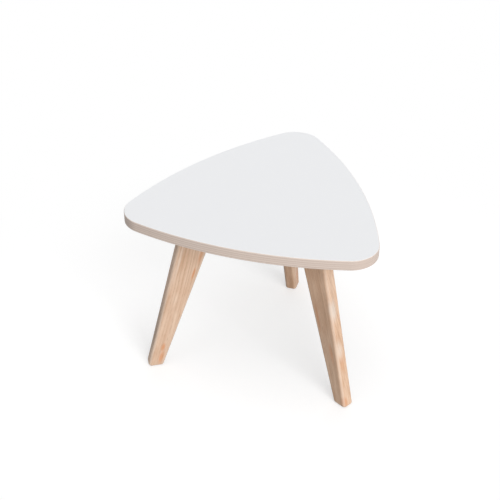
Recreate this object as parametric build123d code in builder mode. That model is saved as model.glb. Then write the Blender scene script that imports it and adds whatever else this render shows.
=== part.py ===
from build123d import *
import os
from math import asin, cos, degrees, floor, radians, sin, sqrt

# A triangular coffee table, in millimetres. A plywood board with a white laminate on both faces
# stands on three flat tapered oak legs, one under each corner, that lean outwards.
# The origin is on the floor, in the middle of the table's box. +Z is up, the front side of the
# triangle faces -Y and the back corner points along +Y.

# The table and the outline of its top, a triangle with bowed sides and rounded corners
table_height = 467
tip_reach = 337  # from the table's centre line to the tip of a corner
corner_radius = 68
side_radius = 962

# The board
core_thickness = 24
laminate_thickness = 0.8
core_bevel = 0.4  # the part of the edge's bevel that is in the plywood

# The legs: reach is measured from the table's centre line to a leg's outer edge
leg_thickness = 31
leg_top_reach = 198.5
leg_top_width = 89
foot_reach = 307.5
foot_width = 39.5
leg_edge_radius = 8
foot_edge_radius = 7

# The steel plate on each leg, wider than the leg by a flange on each side
plate_thickness = 3
plate_end_margin = 10
plate_flange = 25
plate_corner_radius = 9
plate_edge_bevel = 0.5
plate_land = 0.3  # what is left straight of a countersunk hole's wall

# The wood screws that hold a plate on its leg, placed along the leg's top from its inner edge
wood_screw_shares = (0.4, 0.8)
wood_screw_length = 50
wood_screw_radius = 2.75
wood_screw_thread_depth = 0.9
wood_screw_pitch = 2.6
wood_screw_tip = 6
wood_screw_head_rim = 0.2
wood_screw_sink = 0.2  # how far the head lies below the plate's face
cross_recess_length = 5.4
cross_recess_width = 1.1
cross_recess_depth = 2

# The machine screws that hold a plate on the board
machine_screw_end_distance = 14  # from the plate's end to the screw's axis
machine_screw_radius = 3
machine_screw_thread_depth = 0.6
machine_screw_pitch = 1
machine_screw_head_overhang = 2.25
machine_screw_head_height = 3.3
machine_screw_head_rim = 0.6
machine_screw_head_flat_radius = 3
hex_key_size = 4  # across the flats
hex_socket_depth = 2.1

# The threaded inserts in the board
insert_length = 13
insert_wall = 1.1
insert_thread_depth = 0.8
insert_pitch = 2.6
insert_mouth_bevel = 0.4

# The glides under the feet
glide_margin = 2  # wood left round a glide, on the flat of the foot
glide_thickness = 3
glide_recess_depth = 2
glide_edge_radius = 0.6
glide_stem_radius = 3
glide_stem_length = 14

# Clearances
thread_clearance = 0.1
screw_hole_clearance = 0.3
hole_end_clearance = 1
recess_clearance = 0.1

# The corners, each with its leg, as directions from the centre line in degrees
corner_sides = ("right", "back", "left")
back_corner_angle = 90
corner_step = 360 / len(corner_sides)
corner_turns = {
    side: back_corner_angle + (place - corner_sides.index("back")) * corner_step
    for place, side in enumerate(corner_sides)
}

# Worked out: the centres of the outline's arcs, and where the centre line stands in the box
corner_centre_reach = tip_reach - corner_radius
half_corner_span = corner_centre_reach * sin(radians(corner_step / 2))
side_centre_to_corner = side_radius - corner_radius
side_centre_reach = (
    sqrt(side_centre_to_corner**2 - half_corner_span**2)
    - corner_centre_reach * cos(radians(corner_step / 2))
)
side_half_angle = degrees(asin(half_corner_span / side_centre_to_corner))
corner_half_angle = corner_step / 2 - side_half_angle
side_reach = side_radius - side_centre_reach
centre_y = (side_reach - tip_reach) / 2

# Worked out: heights
core_top = table_height - laminate_thickness
core_bottom = core_top - core_thickness
underside = core_bottom - laminate_thickness
leg_top = underside - plate_thickness
foot_bottom = glide_thickness - glide_recess_depth

# Worked out: the plate and its screws
plate_reach = leg_top_reach - leg_top_width / 2
plate_length = leg_top_width + 2 * plate_end_margin
plate_width = leg_thickness + 2 * plate_flange
machine_screw_spacing_out = plate_length - 2 * machine_screw_end_distance
machine_screw_spacing_across = leg_thickness + plate_flange
machine_screw_length = plate_thickness + insert_length
machine_screw_head_radius = machine_screw_radius + machine_screw_head_overhang
wood_screw_head_height = plate_thickness - plate_land - wood_screw_sink
wood_screw_head_radius = wood_screw_radius + wood_screw_head_height
wood_screw_places = [(share - 1 / 2) * leg_top_width for share in wood_screw_shares]
wood_screw_depth = wood_screw_length + wood_screw_sink - plate_thickness

# Worked out: the inserts and the glides
insert_bore_radius = machine_screw_radius + thread_clearance
insert_root_radius = insert_bore_radius + insert_wall
insert_radius = insert_root_radius + insert_thread_depth
insert_hole_radius = insert_radius + thread_clearance
foot_centre_reach = foot_reach - foot_width / 2
glide_radius = leg_thickness / 2 - foot_edge_radius - glide_margin


def corner_point(turn, reach):
    """The point that lies out from the centre line by a reach, towards a direction."""
    return (reach * cos(radians(turn)), centre_y + reach * sin(radians(turn)))


def corner_plane(turn, reach, height, facing):
    """A level plane under a corner, its x pointing outwards. It faces up, 1, or down, -1."""
    x, y = corner_point(turn, reach)
    outwards = (cos(radians(turn)), sin(radians(turn)), 0)
    return Plane(origin=(x, y, height), x_dir=outwards, z_dir=(0, 0, facing))


def upright_plane(turn):
    """The upright plane from the centre line through a corner: x points outwards and y up."""
    outwards = (cos(radians(turn)), sin(radians(turn)), 0)
    across = (sin(radians(turn)), -cos(radians(turn)), 0)
    return Plane(origin=(0, centre_y, 0), x_dir=outwards, z_dir=across)


def write(piece, name):
    """Labels a finished piece and writes its file."""
    piece.part.label = name
    export_step(piece.part, f"parts/{name}.step")


def draw_board_outline(inset):
    """Draws the rounded triangle, drawn in by an inset: an arc round each corner, then a side."""
    for turn in corner_turns.values():
        corner_start = turn - corner_half_angle
        corner_centre = corner_point(turn, corner_centre_reach)
        CenterArc(corner_centre, corner_radius - inset, corner_start, 2 * corner_half_angle)
        side_turn = turn + corner_step / 2
        side_start = side_turn - side_half_angle
        side_centre = corner_point(side_turn, -side_centre_reach)
        CenterArc(side_centre, side_radius - inset, side_start, 2 * side_half_angle)


def bore_insert_holes(face_height, depth):
    """Bores the holes for the threaded inserts up into a board's lower face."""
    for turn in corner_turns.values():
        with Locations(corner_plane(turn, plate_reach, face_height, -1)):
            with GridLocations(machine_screw_spacing_out, machine_screw_spacing_across, 2, 2):
                Hole(insert_hole_radius, depth)


def thread_points(root_radius, crest_radius, pitch, start, end):
    """Points down a thread's outline from one height to another, drawn as a ring for each turn."""
    ring_count = max(1, floor(abs(start - end) / pitch))
    step = (end - start) / ring_count
    points = []
    for ring in range(ring_count):
        height = start + ring * step
        points.append((root_radius, height))
        points.append((crest_radius, height + step / 2))
    points.append((root_radius, end))
    return points


def make_board():
    """The plywood core, bevelled along both rims, and a laminate on each of its faces."""
    with BuildPart() as plywood_core:
        with BuildSketch(Plane.XY.offset(core_bottom)):
            with BuildLine():
                draw_board_outline(0)
            make_face()
        extrude(amount=core_thickness)
        chamfer(plywood_core.faces().filter_by(Axis.Z).edges(), core_bevel)
        hole_depth = insert_length - laminate_thickness + hole_end_clearance
        bore_insert_holes(core_bottom, hole_depth)
    write(plywood_core, "plywood_core")

    # The bevel runs on through the whole thickness of each laminate
    with BuildPart() as top_laminate:
        with BuildSketch(Plane.XY.offset(core_top)):
            with BuildLine():
                draw_board_outline(core_bevel)
            make_face()
        extrude(amount=laminate_thickness, taper=45)
    write(top_laminate, "top_laminate")

    with BuildPart() as underside_laminate:
        with BuildSketch(Plane.XY.offset(core_bottom)):
            with BuildLine():
                draw_board_outline(core_bevel)
            make_face()
        extrude(amount=-laminate_thickness, taper=45)
        bore_insert_holes(underside, laminate_thickness)
    write(underside_laminate, "underside_laminate")


def leg_edge_reach(top_reach, bottom_reach, height):
    """How far out a leg's straight edge lies at a height. It runs from the floor to the board."""
    return bottom_reach + (top_reach - bottom_reach) * height / underside


def make_leg(side, turn):
    """A flat tapered board with rounded edges, bored for its wood screws and its glide."""
    outer = (leg_top_reach, foot_reach)
    inner = (leg_top_reach - leg_top_width, foot_reach - foot_width)
    with BuildPart() as leg:
        with BuildSketch(upright_plane(turn)):
            with BuildLine():
                Polyline(
                    (leg_edge_reach(*outer, foot_bottom), foot_bottom),
                    (leg_edge_reach(*outer, leg_top), leg_top),
                    (leg_edge_reach(*inner, leg_top), leg_top),
                    (leg_edge_reach(*inner, foot_bottom), foot_bottom),
                    close=True,
                )
            make_face()
        extrude(amount=leg_thickness / 2, both=True)
        fillet(leg.edges().group_by(Axis.Z)[1], leg_edge_radius)
        fillet(leg.faces().sort_by(Axis.Z)[0].edges(), foot_edge_radius)
        with Locations(corner_plane(turn, plate_reach, leg_top, 1)):
            with Locations(*[(place, 0) for place in wood_screw_places]):
                Hole(wood_screw_radius + thread_clearance, wood_screw_depth + hole_end_clearance)
        with Locations(corner_plane(turn, foot_centre_reach, foot_bottom, -1)):
            Hole(glide_radius + recess_clearance, glide_recess_depth)
            Hole(
                glide_stem_radius + recess_clearance,
                glide_recess_depth + glide_stem_length + hole_end_clearance,
            )
    write(leg, f"{side}_leg")


def make_plate(side, turn):
    """The steel plate between a leg and the board, countersunk from above for the wood screws."""
    plate_top = corner_plane(turn, plate_reach, underside, 1)
    countersink_radius = wood_screw_head_radius + wood_screw_sink + thread_clearance
    with BuildPart() as plate:
        with BuildSketch(plate_top):
            RectangleRounded(plate_length, plate_width, plate_corner_radius)
        extrude(amount=-plate_thickness)
        chamfer(plate.faces().sort_by(Axis.Z)[0].edges(), plate_edge_bevel)
        with Locations(plate_top):
            with GridLocations(machine_screw_spacing_out, machine_screw_spacing_across, 2, 2):
                Hole(machine_screw_radius + screw_hole_clearance)
            with Locations(*[(place, 0) for place in wood_screw_places]):
                CounterSinkHole(
                    wood_screw_radius + thread_clearance,
                    countersink_radius,
                    counter_sink_angle=90,
                )
    write(plate, f"{side}_leg_plate")


def make_wood_screw():
    """A countersunk screw that points down, with its head's face at the origin."""
    root_radius = wood_screw_radius - wood_screw_thread_depth
    thread_start = -wood_screw_head_height
    thread_end = wood_screw_tip - wood_screw_length
    with BuildPart() as screw:
        with BuildSketch(Plane.XZ):
            with BuildLine():
                Polyline(
                    (0, 0),
                    (wood_screw_head_radius - wood_screw_head_rim, 0),
                    (wood_screw_head_radius - wood_screw_head_rim, -wood_screw_head_rim),
                    (wood_screw_radius, thread_start),
                    *thread_points(
                        root_radius, wood_screw_radius, wood_screw_pitch, thread_start, thread_end
                    ),
                    (0, -wood_screw_length),
                    close=True,
                )
            make_face()
        revolve(axis=Axis.Z)
        with BuildSketch():
            Rectangle(cross_recess_length, cross_recess_width)
            Rectangle(cross_recess_width, cross_recess_length)
        extrude(amount=-cross_recess_depth, mode=Mode.SUBTRACT)
    return screw.part


def make_machine_screw():
    """A button head screw that points up, with the seat of its head at the origin."""
    root_radius = machine_screw_radius - machine_screw_thread_depth
    rim = (machine_screw_head_radius, -machine_screw_head_rim)
    flat = (machine_screw_head_flat_radius, -machine_screw_head_height)
    with BuildPart() as screw:
        with BuildSketch(Plane.XZ):
            with BuildLine():
                Polyline(
                    (0, -machine_screw_head_height),
                    (0, machine_screw_length),
                    *thread_points(
                        root_radius,
                        machine_screw_radius,
                        machine_screw_pitch,
                        machine_screw_length,
                        plate_thickness,
                    ),
                    (machine_screw_radius, plate_thickness),
                    (machine_screw_radius, 0),
                    (machine_screw_head_radius, 0),
                    rim,
                )
                RadiusArc(rim, flat, machine_screw_head_radius)
                Line(flat, (0, -machine_screw_head_height))
            make_face()
        revolve(axis=Axis.Z)
        with BuildSketch(Plane.XY.offset(-machine_screw_head_height)):
            RegularPolygon(hex_key_size / 2, 6, major_radius=False)
        extrude(amount=hex_socket_depth, mode=Mode.SUBTRACT)
    return screw.part


def make_insert():
    """A brass insert that goes up into the board, with its mouth at the origin."""
    with BuildPart() as insert:
        with BuildSketch(Plane.XZ):
            with BuildLine():
                Polyline(
                    (insert_bore_radius, insert_length),
                    *thread_points(
                        insert_root_radius, insert_radius, insert_pitch, insert_length, 0
                    ),
                    (insert_bore_radius + insert_mouth_bevel, 0),
                    (insert_bore_radius, insert_mouth_bevel),
                    close=True,
                )
            make_face()
        revolve(axis=Axis.Z)
    return insert.part


def make_fasteners(side, turn, wood_screw, machine_screw, insert):
    """The screws of one plate and the inserts above it, each kind as a group of solids."""
    with BuildPart() as wood_screws:
        with Locations(corner_plane(turn, plate_reach, underside - wood_screw_sink, 1)):
            with Locations(*[(place, 0) for place in wood_screw_places]):
                add(wood_screw)
    write(wood_screws, f"{side}_leg_wood_screws")

    with BuildPart() as plate_screws:
        with Locations(corner_plane(turn, plate_reach, leg_top, 1)):
            with GridLocations(machine_screw_spacing_out, machine_screw_spacing_across, 2, 2):
                add(machine_screw)
    write(plate_screws, f"{side}_plate_screws")

    with BuildPart() as plate_inserts:
        with Locations(corner_plane(turn, plate_reach, underside, 1)):
            with GridLocations(machine_screw_spacing_out, machine_screw_spacing_across, 2, 2):
                add(insert)
    write(plate_inserts, f"{side}_plate_inserts")


def make_glide(side, turn):
    """A nylon disc with a stem, pressed up into the foot. It stands a little proud of the wood."""
    with BuildPart() as glide:
        with BuildSketch(corner_plane(turn, foot_centre_reach, 0, 1)):
            Circle(glide_radius)
        extrude(amount=glide_thickness)
        fillet(glide.faces().sort_by(Axis.Z)[0].edges(), glide_edge_radius)
        with BuildSketch(corner_plane(turn, foot_centre_reach, glide_thickness, 1)):
            Circle(glide_stem_radius)
        extrude(amount=glide_stem_length)
    write(glide, f"{side}_foot_glide")


os.makedirs("parts", exist_ok=True)
make_board()
one_wood_screw = make_wood_screw()
one_machine_screw = make_machine_screw()
one_insert = make_insert()
for corner_side, corner_turn in corner_turns.items():
    make_leg(corner_side, corner_turn)
    make_plate(corner_side, corner_turn)
    make_fasteners(corner_side, corner_turn, one_wood_screw, one_machine_screw, one_insert)
    make_glide(corner_side, corner_turn)
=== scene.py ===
# %% [markdown]
# # A triangular coffee table, finished in Blender
# The table is a rounded triangular board on three flat tapered oak legs. The board is birch
# plywood with a white laminate on both faces. Its pieces come in as a fixed frame, in metres, with
# +Z up and the origin on the floor. This script gives every piece its finish, makes the pieces
# whose detail is finer than the frame's, and sets the camera and the light.

# %% Load the frame
import math
from functools import partial

import bpy
from mathutils import Matrix, Vector


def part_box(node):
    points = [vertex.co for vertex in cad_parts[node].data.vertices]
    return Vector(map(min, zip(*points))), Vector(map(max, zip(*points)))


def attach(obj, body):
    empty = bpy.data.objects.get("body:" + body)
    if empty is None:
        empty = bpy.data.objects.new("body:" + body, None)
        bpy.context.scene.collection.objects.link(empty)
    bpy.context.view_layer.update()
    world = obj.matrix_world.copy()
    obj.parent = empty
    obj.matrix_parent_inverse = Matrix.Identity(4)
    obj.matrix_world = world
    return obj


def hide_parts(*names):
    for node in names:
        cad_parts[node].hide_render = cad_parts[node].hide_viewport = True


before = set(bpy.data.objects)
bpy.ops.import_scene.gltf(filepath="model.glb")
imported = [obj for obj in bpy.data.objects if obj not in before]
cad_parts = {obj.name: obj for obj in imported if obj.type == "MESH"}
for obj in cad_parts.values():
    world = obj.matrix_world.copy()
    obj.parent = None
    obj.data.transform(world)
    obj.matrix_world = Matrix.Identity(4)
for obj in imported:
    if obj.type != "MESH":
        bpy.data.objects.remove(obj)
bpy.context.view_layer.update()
print("pieces in the frame:", len(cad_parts))

# %% [markdown]
# ## Units and two helpers
# Real sizes are written in millimetres and turned into Blender's metres. Colours are written as
# sRGB hex values, and one function turns them into the linear values that a shader mixes. Shapes
# and finishes alike are trees of nodes, so a second helper adds one node, sets it up and links its
# inputs in a single call. A node's kind is written without its family's name, such as Math for
# ShaderNodeMath. Its inputs are named, or else given in their order: a Map Range takes a value,
# the range that it comes from and the range that it goes to, and a noise takes a place, a scale,
# its detail and its roughness. Sockets that the node's settings have switched off are left out.
# An input also takes the name of one of the tree's own inputs, such as Length. In a finish these
# are its coordinates: Object is the place in space, and Normal is where the surface faces.

# %% Units, colours and nodes
MM = 0.001
SRGB_KNEE = 0.04045
NUMBERS = (int, float)
OWN = "own inputs"  # the name of the node that holds them


def linear(hex_colour):
    """A colour such as #E0C8A0 as linear red, green, blue and alpha."""
    channels = []
    for place in (1, 3, 5):
        value = int(hex_colour[place:place + 2], 16) / 255
        if value <= SRGB_KNEE:
            channels.append(value / 12.92)
        else:
            channels.append(((value + 0.055) / 1.055) ** 2.4)
    return (*channels, 1)


def mm(*parts):
    """Millimetres as metres."""
    return tuple(part * MM for part in parts)


def put(tree, kind, inputs=(), operation=None, **settings):
    """Adds a node. An input takes a value, a hex colour, a node, a socket, the name of one of the
    tree's own inputs, a tuple that holds any of these, or a list of them."""
    own = tree.bl_idname.removesuffix("Tree")
    families = (own, "ShaderNode", "FunctionNode", "Node")
    family = next(name for name in families if hasattr(bpy.types, name + kind))
    node = tree.nodes.new(family + kind)
    if operation:
        node.operation = operation
    for name, value in settings.items():
        setattr(node, name, value)
    sockets = [socket for socket in node.inputs if socket.enabled]
    for key, values in inputs.items() if isinstance(inputs, dict) else enumerate(inputs):
        named = [socket for socket in sockets if socket.name == key]
        socket = named[0] if named else sockets[key]
        for value in values if isinstance(values, list) else [values]:
            if isinstance(value, tuple) and not all(isinstance(part, NUMBERS) for part in value):
                value = put(tree, "CombineXYZ", value)
            if isinstance(value, str):
                value = linear(value) if value[0] == "#" else tree.nodes[OWN].outputs[value]
            if isinstance(value, bpy.types.Node):
                value = next(output for output in value.outputs if output.enabled)
            if isinstance(value, bpy.types.NodeSocket):
                tree.links.new(value, socket)
            else:
                socket.default_value = value
    return node


# %% [markdown]
# ## The camera
# The picture is taken from the front right, 35 degrees above the level, with a long lens. The
# camera looks at a point at the height of the board, and its small roll is part of the view.

# %% Camera
VIEW_TURN = math.radians(17.25)
VIEW_RISE = math.radians(34.71)
VIEW_ROLL = math.radians(0.26)
LENS_MM = 73.07
SENSOR_MM = 36
CAMERA_DISTANCE = 2226 * MM
BOARD_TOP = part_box("top_laminate")[1].z
LOOK_AT = Vector((31.6 * MM, -276.8 * MM, BOARD_TOP))

backwards = Vector((
    math.sin(VIEW_TURN) * math.cos(VIEW_RISE),
    -math.cos(VIEW_TURN) * math.cos(VIEW_RISE),
    math.sin(VIEW_RISE),
))
level_right = Vector((math.cos(VIEW_TURN), math.sin(VIEW_TURN), 0))
level_up = backwards.cross(level_right)
right = level_right * math.cos(VIEW_ROLL) + level_up * math.sin(VIEW_ROLL)
up = level_up * math.cos(VIEW_ROLL) - level_right * math.sin(VIEW_ROLL)
camera_data = bpy.data.cameras.new("camera")
camera_data.sensor_width = SENSOR_MM
camera_data.lens = LENS_MM
camera = bpy.data.objects.new("camera", camera_data)
bpy.context.scene.collection.objects.link(camera)
turned = Matrix((right, up, backwards)).transposed().to_4x4()
camera.matrix_world = Matrix.Translation(LOOK_AT + backwards * CAMERA_DISTANCE) @ turned
bpy.context.scene.camera = camera
print("camera at", [round(value, 3) for value in camera.matrix_world.translation])

# %% [markdown]
# ## The studio
# A product picture on white is lit by large soft boxes in a pale room. Here one hangs over the
# table, one stands to the front right, and a long low one beside it lights the sides that face it.
# A wide one behind keeps the far sides from going dark. They stand far off, so the whole top gets
# the same light. The room, which is the world, gives the rest. Their strengths are plain, so that
# a colour renders about as it is written. Reflections show the room and none of the soft boxes, as
# through a polarising filter, so that the white top doesn't glare from any side.
#
# The floor is a sheet that sends a little light back up. To the camera, and in reflections, it is
# a bright paper on which only the soft shadow shows, and its glow is seen by no other ray. A
# camera under the floor looks through it, and finds the feet's ends lit by the room below.

# %% Floor and world
scene = bpy.context.scene
scene.view_settings.view_transform = "Standard"

FLOOR_SIZE = 30.0
OPENING_HALF = (18.5 * MM, 14.5 * MM, 1)  # along and across the foot
FLOOR_GREY = "#959595"
PAPER_GLOW = 0.5
PAPER_SHADE = 0.6
SHADOW_CORE, SHADOW_END = 0.35, 1.0  # from the middle of the floor
ROOM_LIGHT = 0.32
WHITE = "#FFFFFF"
SMOOTHLY = {"interpolation_type": "SMOOTHSTEP"}
CORNER_TURNS = {
    "right": math.radians(-30), "back": math.radians(90), "left": math.radians(210)
}


def new_finish(name):
    """A new material with only its coordinates, and what adds a node to it."""
    finish = bpy.data.materials.new(name)
    finish.use_nodes = True
    finish.node_tree.nodes.clear()
    put(finish.node_tree, "TexCoord", name=OWN)
    return finish, partial(put, finish.node_tree)


def seen_share(add):
    """1 for rays from the camera, or by way of a reflection or through a clear piece."""
    rays = add("LightPath").outputs
    direct = add("Math", (rays["Is Camera Ray"], rays["Is Glossy Ray"]), "MAXIMUM")
    return add("Math", (direct, rays["Is Transmission Ray"]), "MAXIMUM")


paper, add = new_finish("studio_paper")
clear = add("BsdfTransparent")
plain = add("BsdfDiffuse", {"Color": FLOOR_GREY})
# Light passes only under the feet, where the sheet has openings that no camera sees
under_feet = 0
for side, turn in CORNER_TURNS.items():
    low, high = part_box(f"{side}_foot_glide")
    foot = ((low.x + high.x) / 2, (low.y + high.y) / 2, 0)
    off = add("Mapping", {
        "Vector": "Object", "Location": foot, "Rotation": (0, 0, turn), "Scale": OPENING_HALF,
    }, vector_type="TEXTURE")
    halves = add("VectorMath", (off,), "ABSOLUTE")
    shares = add("SeparateXYZ", (halves,)).outputs
    share = add("Math", (shares["X"], shares["Y"]), "MAXIMUM")
    inside = add("Math", (share, 1), "LESS_THAN")
    under_feet = add("Math", (inside, under_feet), "MAXIMUM")
open_sheet = add("MixShader", (under_feet, plain, clear))
glow = add("Emission", {"Strength": PAPER_GLOW})
shade = add("BsdfDiffuse", {"Color": (PAPER_SHADE, PAPER_SHADE, PAPER_SHADE, 1)})
bright = add("AddShader", (glow, shade))
# Away from the table the paper runs out into the white of the room, with no horizon
far_off = add("VectorMath", ("Object",), "LENGTH")
fading = add("MapRange", (far_off, SHADOW_CORE, SHADOW_END), **SMOOTHLY)
plain_white = add("Emission", {"Color": WHITE, "Strength": 1})
endless = add("MixShader", (fading, bright, plain_white))
sheet_of_paper = add("MixShader", (seen_share(add), open_sheet, endless))
# A camera under the floor looks through it
below = add("NewGeometry").outputs["Backfacing"]
by_camera = add("LightPath").outputs["Is Camera Ray"]
seen_from_below = add("Math", (below, by_camera), "MULTIPLY")
both_ways = add("MixShader", (seen_from_below, sheet_of_paper, clear))
add("OutputMaterial", {"Surface": both_ways})

half = FLOOR_SIZE / 2
floor_mesh = bpy.data.meshes.new("floor")
floor_corners = [(-half, -half, 0), (half, -half, 0), (half, half, 0), (-half, half, 0)]
floor_mesh.from_pydata(floor_corners, [], [(0, 1, 2, 3)])
floor_mesh.materials.append(paper)
floor = bpy.data.objects.new("floor", floor_mesh)
scene.collection.objects.link(floor)

world = bpy.data.worlds.new("room")
scene.world = world
world.use_nodes = True
world.node_tree.nodes.clear()
add = partial(put, world.node_tree)
room = add("Background", {"Color": WHITE, "Strength": ROOM_LIGHT})
white = add("Background", {"Color": WHITE, "Strength": 1})
backdrop = add("MixShader", (seen_share(add), room, white))
add("OutputWorld", {"Surface": backdrop})

# %% Soft boxes
SOFT_BOX_DISTANCE = 50.0
# The turn from the front and the rise in degrees, the width and height in metres, and the watts
SOFT_BOXES = {
    "overhead_soft_box": (0, 80, 30, 30, 5250), "front_right_soft_box": (40, 30, 30, 30, 14200),
    "low_right_soft_box": (50, 14, 30, 20, 7720), "back_soft_box": (198, 27, 60, 30, 4940),
}
lit_point = Vector((0, 0, 0.3))
for name, (turn, rise, width, height, power) in SOFT_BOXES.items():
    lamp_data = bpy.data.lights.new(name, "AREA")
    lamp_data.shape = "RECTANGLE"
    lamp_data.size = width
    lamp_data.size_y = height
    lamp_data.energy = power
    lamp = bpy.data.objects.new(name, lamp_data)
    scene.collection.objects.link(lamp)
    lamp.visible_camera = False
    lamp.visible_glossy = False
    turn, rise = math.radians(turn), math.radians(rise)
    direction = Vector((
        math.sin(turn) * math.cos(rise), -math.cos(turn) * math.cos(rise), math.sin(rise)
    ))
    lamp.matrix_world = (
        Matrix.Translation(lit_point + direction * SOFT_BOX_DISTANCE)
        @ direction.to_track_quat("Z", "Y").to_matrix().to_4x4()
    )
print("soft boxes:", ", ".join(SOFT_BOXES))

# %% [markdown]
# ## White laminate
# High pressure laminate is paper soaked in resin and pressed hard against a steel plate with a
# fine satin texture. It reflects softly and evenly, and its white is slightly cool. Where the edge
# is bevelled, the cut shows its warmer core. The texture is about half a millimetre across. It is
# drawn as a bump of noise at that size, and the colour hardly varies. Every finish here ends in
# the same way, with a bump, a range of roughness and one shader, so a helper does that.

# %% How a finish ends
IN_COLOUR = {"data_type": "RGBA"}


def end_finish(add, colour, relief, gloss, shader):
    """Ends a finish. Relief is a height, a strength and a depth, gloss a value and its range."""
    height, strength, depth = relief
    value, at_zero, at_one = gloss
    bump = add("Bump", {"Height": height, "Strength": strength, "Distance": depth * MM})
    roughness = add("MapRange", (value, 0, 1, at_zero, at_one))
    surface = add("BsdfPrincipled", {
        "Base Color": colour, "Roughness": roughness, "Normal": bump, **shader,
    })
    add("OutputMaterial", {"Surface": surface})


# %% White laminate
BOARD_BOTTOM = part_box("underside_laminate")[0].z
BOARD_MIDDLE = (BOARD_TOP + BOARD_BOTTOM) / 2
DECOR_PAPER = 0.12 * MM

laminate, add = new_finish("white_high_pressure_laminate")
cloud = add("TexNoise", ("Object", 1 / (120 * MM), 2))
decor = add("Mix", (cloud, "#F2F3F5", "#F3F4F6"), **IN_COLOUR)
height = add("SeparateXYZ", ("Object",)).outputs["Z"]
off_middle = add("Math", (height, BOARD_MIDDLE), "SUBTRACT")
depth = add("Math", (off_middle,), "ABSOLUTE")
in_core = add("Math", (depth, BOARD_TOP - BOARD_MIDDLE - DECOR_PAPER), "LESS_THAN")
colour = add("Mix", (in_core, decor, "#E4DAD1"), **IN_COLOUR)
texture = add("TexNoise", ("Object", 1 / (0.5 * MM), 2))
end_finish(add, colour, (texture, 0.15, 0.02), (cloud, 0.38, 0.42), {"IOR": 1.5})

# %% [markdown]
# ## The edge of birch plywood
# Plywood is thin sheets of birch glued with their grain crossed. On the edge, a ply whose grain
# runs along the edge shows pale long fibres, and the next one shows its darker end grain. Which is
# which changes round a rounded corner. So the finish counts the plies by height, turns each one's
# grain by a right angle, and asks how far the surface faces along that grain. Brown glue lines
# part the plies. A clear satin lacquer covers them.

# %% Birch plywood
core_low, core_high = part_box("plywood_core")
CORE_BOTTOM, CORE_TOP = core_low.z, core_high.z
PLY_COUNT = 9
PLY = (CORE_TOP - CORE_BOTTOM) / PLY_COUNT
GLUE_LINE = 0.12 * MM
# A thin lacquer sinks into open grain and glints half as much as it would on smooth wood
LACQUERED_WOOD = {"IOR": 1.5, "Specular IOR Level": 0.25}

plywood, add = new_finish("birch_plywood_clear_lacquered")
height = add("SeparateXYZ", ("Object",)).outputs["Z"]
raised = add("Math", (height, CORE_BOTTOM), "SUBTRACT")
plies = add("Math", (raised, PLY), "DIVIDE")
ply = add("Math", (plies,), "FLOOR")
crossed = add("Math", (ply, 2), "FLOORED_MODULO")
facing = add("SeparateXYZ", ("Normal",)).outputs
facing_x = add("Math", (facing["X"],), "ABSOLUTE")
facing_y = add("Math", (facing["Y"],), "ABSOLUTE")
end_share = add("Mix", (crossed, facing_x, facing_y))
end_grain = add("MapRange", (end_share, 0.15, 0.95), **SMOOTHLY)
# Fibres are drawn out along the edge to 12 mm, and end grain is dotted with 0.4 mm vessels
stretched = add("Mapping", {"Vector": "Object", "Scale": (1, 1, 30)})
fibres = add("TexNoise", (stretched, 1 / (12 * MM), 4, 0.65))
vessels = add("TexNoise", ("Object", 1 / (0.4 * MM), 2, 0.5))
long_tone = add("Mix", (fibres, "#D3C2B5", "#E8DAD0"), **IN_COLOUR)
end_tone = add("Mix", (vessels, "#C7B2A6", "#DCCCC1"), **IN_COLOUR)
grain = add("Mix", (end_grain, long_tone, end_tone), **IN_COLOUR)
sheet_tone = add("TexWhiteNoise", {"W": ply}, noise_dimensions="1D")
blotches = add("TexNoise", ("Object", 1 / (55 * MM), 2))
tone_sum = add("Math", (sheet_tone, blotches), "ADD")
brightness = add("MapRange", (tone_sum, 0, 2, 0.95, 1.05))
toned = add("VectorMath", {0: grain, "Scale": brightness}, "SCALE")
# Half a ply, folded back and forth, is the distance to the nearest glue line
to_line = add("Math", (plies, 0.5), "PINGPONG")
glued = add("MapRange", (to_line, GLUE_LINE / PLY / 2, GLUE_LINE / PLY, 0.3, 0), **SMOOTHLY)
colour = add("Mix", (glued, toned, "#9A7F6D"), **IN_COLOUR)
fine = add("Mix", (end_grain, fibres, vessels))
end_finish(add, colour, (fine, 0.35, 0.05), (fine, 0.52, 0.42), LACQUERED_WOOD)

# %% [markdown]
# ## Oak under a matt lacquer
# Each leg is sawn from one plank, and its grain is solid: the same growth rings show on the broad
# face as long arches, on the narrow face as straight lines and on the foot as arcs. So the finish
# isn't painted on. It is a block of wood in space, made of cylinders round a pith that lies
# outside the leg and leans a little, and the leg's faces cut through it. A Mapping node turns each
# leg's own line upright first, and every leg has its own piece of the tree.
#
# Every ring starts with open pores, which look darker, and ends in denser wood. Finer than that
# are the single pores, short dark dashes along the grain. Wider than that, the tone drifts. The
# rings are plain to see high on a leg and fade towards its foot. Every plank also has a few marks
# of its own, warm orange streaks and paler patches, and a few more marks are painted shade, a
# grey-brown laid on faces that turn from the light. They are long soft ellipses at places in the
# block, given for each leg. Along the rounded edges the wood is made paler, a painted highlight.
# Towards its top each leg's tone is scaled as painted light, paler on the right leg and a little
# darker on the back one. A mark is a small tree of its own, used once for each mark, and one
# helper makes such a tree.

# %% A tree with named inputs
SOCKET_KINDS = {
    float: "NodeSocketFloat", int: "NodeSocketInt", tuple: "NodeSocketVector",
    type(None): "NodeSocketGeometry",
}
NOWHERE = (0.0, 0.0, 0.0)


def new_tree(name, inputs, outputs=None, kind="GeometryNodeTree"):
    """A tree with named inputs and their usual values, and what adds a node to it."""
    tree = bpy.data.node_groups.new(name, kind)
    sides = {"INPUT": inputs, "OUTPUT": outputs or {"Geometry": None}}
    for side, sockets in sides.items():
        for label, value in sockets.items():
            socket = tree.interface.new_socket(
                label, in_out=side, socket_type=SOCKET_KINDS[type(value)])
            if value is not None:
                socket.default_value = value
    put(tree, "GroupInput", name=OWN)
    return tree, partial(put, tree)


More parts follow.
